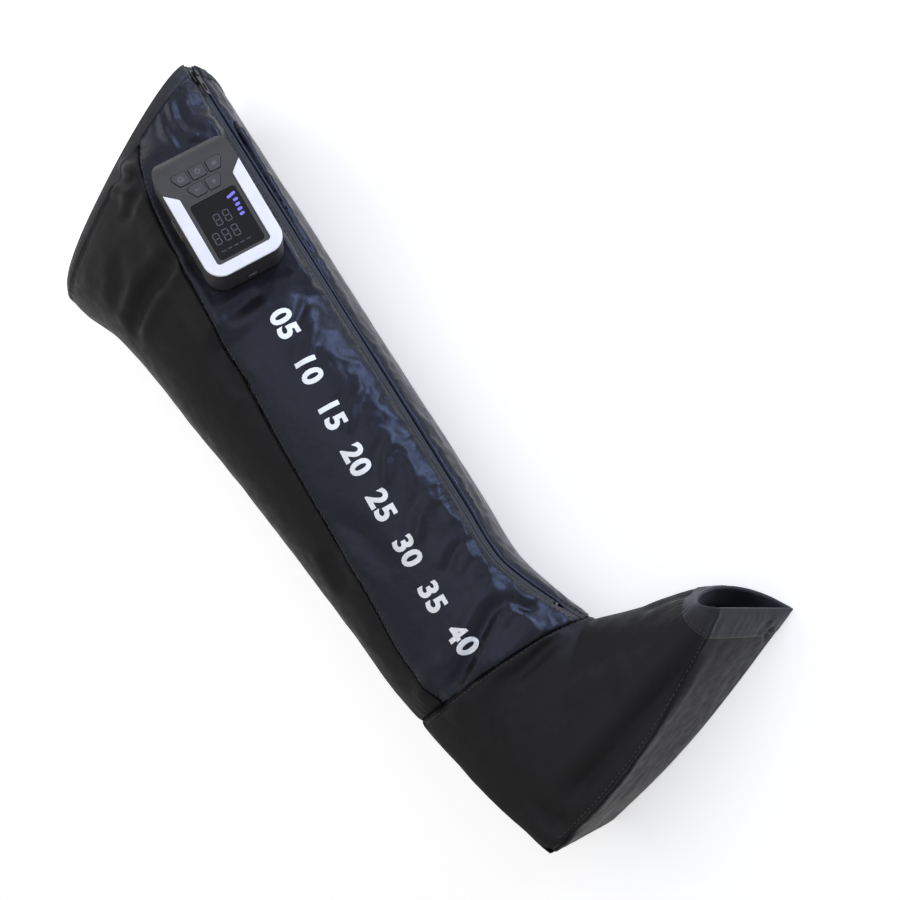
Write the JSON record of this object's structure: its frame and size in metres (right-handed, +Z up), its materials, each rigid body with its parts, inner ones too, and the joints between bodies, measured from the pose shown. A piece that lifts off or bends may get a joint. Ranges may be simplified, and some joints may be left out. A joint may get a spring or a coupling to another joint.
{
  "type": "air compression leg sleeve",
  "caption": "Full-leg air compression sleeve with a zip, an open-toed foot and a clip-on pump controller with a display, keys and release latches, lying on its side.",
  "frame": {"origin": "bottom centre of the bounding box, on the table under the calf", "axes": "+Y from the heel to the thigh rim along the leg, +X from the back of the leg to the zip and the toes, +Z up, with the controller on the upper side of the thigh"},
  "size_m": [0.3652, 0.8306, 0.2272],
  "materials": {
    "nylon_navy": "coated woven nylon with a satin sheen",
    "nylon_black": "coated woven nylon, matte",
    "lining_fabric": "soft knit",
    "air_chamber_film": "welded film",
    "hose_vinyl": "soft vinyl",
    "zip_fabric": "woven tape",
    "zip_coil": "moulded coil",
    "slider_metal": "satin black enamel",
    "case_black": "fine texture",
    "trim_white": "satin",
    "lens_black": "polished",
    "key_black": "fine texture",
    "silicone": "matte",
    "circuit_board": "solder mask",
    "cell_wrap": "shrink wrap",
    "bright_metal": "plated",
    "pump_plastic": "moulded"
  },
  "bodies": {
    "sleeve": {"print_panel": "nylon_navy", "back_panel": "nylon_black", "zip_side_panel": "nylon_navy", "foot_side_outer": "nylon_black", "foot_side_inner": "nylon_black", "heel_panel": "nylon_black", "sole_gusset": "nylon_black", "leg_lining": "lining_fabric", "foot_lining": "lining_fabric", "thigh_air_chamber": "air_chamber_film", "knee_air_chamber": "air_chamber_film", "calf_air_chamber": "air_chamber_film", "ankle_air_chamber": "air_chamber_film", "foot_air_chamber": "air_chamber_film", "top_binding": "nylon_black", "toe_binding": "nylon_black", "zip_tape_outer": "zip_fabric", "zip_tape_inner": "zip_fabric", "zip_coil_outer": "zip_coil", "zip_coil_inner": "zip_coil", "zip_bottom_stop": "slider_metal", "dock_plate": "case_black", "dock_gasket": "silicone", "dock_backing": "case_black", "hose_block": "pump_plastic", "foot_hose": "hose_vinyl", "ankle_hose": "hose_vinyl", "calf_hose": "hose_vinyl", "knee_hose": "hose_vinyl", "thigh_hose": "hose_vinyl"},
    "controller": {"rear_shell": "case_black", "front_shell": "case_black", "front_trim": "trim_white", "key_membrane": "silicone", "display_lens": "lens_black", "display_module": "case_black", "main_board": "circuit_board", "inner_cell": "cell_wrap", "outer_cell": "cell_wrap", "pump_motor": "bright_metal", "pump_head": "pump_plastic", "pump_tube": "hose_vinyl", "valve_block": "pump_plastic", "charge_socket": "bright_metal", "case_screw_1": "bright_metal", "case_screw_2": "bright_metal", "case_screw_3": "bright_metal", "case_screw_4": "bright_metal"},
    "minus_button": {"minus_key": "key_black"},
    "plus_button": {"plus_key": "key_black"},
    "timer_button": {"timer_key": "key_black"},
    "power_button": {"power_key": "key_black"},
    "mode_button": {"mode_key": "key_black"},
    "right_release": {"right_latch": "case_black"},
    "left_release": {"left_latch": "case_black"},
    "crank": {"pump_crank": "bright_metal"},
    "slider": {"zip_slider": "slider_metal"},
    "pull": {"zip_pull": "slider_metal"}
  },
  "joints": [
    {"name": "controller_lift_off", "type": "slide", "parent": "sleeve", "child": "controller", "axis": [0.5939, -0.0452, 0.8033], "range_m": [0, 0.05]},
    {"name": "minus_press", "type": "slide", "parent": "controller", "child": "minus_button", "axis": [-0.5939, 0.0452, -0.8033], "range_m": [0, 0.0006], "stiffness_N_per_m": 600, "springref_m": -0.001},
    {"name": "plus_press", "type": "slide", "parent": "controller", "child": "plus_button", "axis": [-0.5939, 0.0452, -0.8033], "range_m": [0, 0.0006], "stiffness_N_per_m": 600, "springref_m": -0.001},
    {"name": "timer_press", "type": "slide", "parent": "controller", "child": "timer_button", "axis": [-0.5939, 0.0452, -0.8033], "range_m": [0, 0.0006], "stiffness_N_per_m": 600, "springref_m": -0.001},
    {"name": "power_press", "type": "slide", "parent": "controller", "child": "power_button", "axis": [-0.5939, 0.0452, -0.8033], "range_m": [0, 0.0006], "stiffness_N_per_m": 600, "springref_m": -0.001},
    {"name": "mode_press", "type": "slide", "parent": "controller", "child": "mode_button", "axis": [-0.5939, 0.0452, -0.8033], "range_m": [0, 0.0006], "stiffness_N_per_m": 600, "springref_m": -0.001},
    {"name": "right_latch_press", "type": "slide", "parent": "controller", "child": "right_release", "axis": [-0.7964, 0.109, 0.5949], "range_m": [0, 0.0015], "stiffness_N_per_m": 800, "springref_m": -0.002},
    {"name": "left_latch_press", "type": "slide", "parent": "controller", "child": "left_release", "axis": [0.7964, -0.109, -0.5949], "range_m": [0, 0.0015], "stiffness_N_per_m": 800, "springref_m": -0.002},
    {"name": "crank_spin", "type": "hinge", "parent": "controller", "child": "crank", "pos_m": [0.0271, 0.22896, 0.19335], "axis": [0.1145, 0.993, -0.0287], "continuous": true},
    {"name": "zip_run", "type": "slide", "parent": "sleeve", "child": "slider", "axis": [-0.1029, -0.9947, 0.0034], "range_m": [0, 0.5]},
    {"name": "pull_swing", "type": "hinge", "parent": "slider", "child": "pull", "pos_m": [0.08454, 0.40076, 0.10804], "axis": [0, 0.0035, 1], "range_deg": [0, 150]}
  ]
}
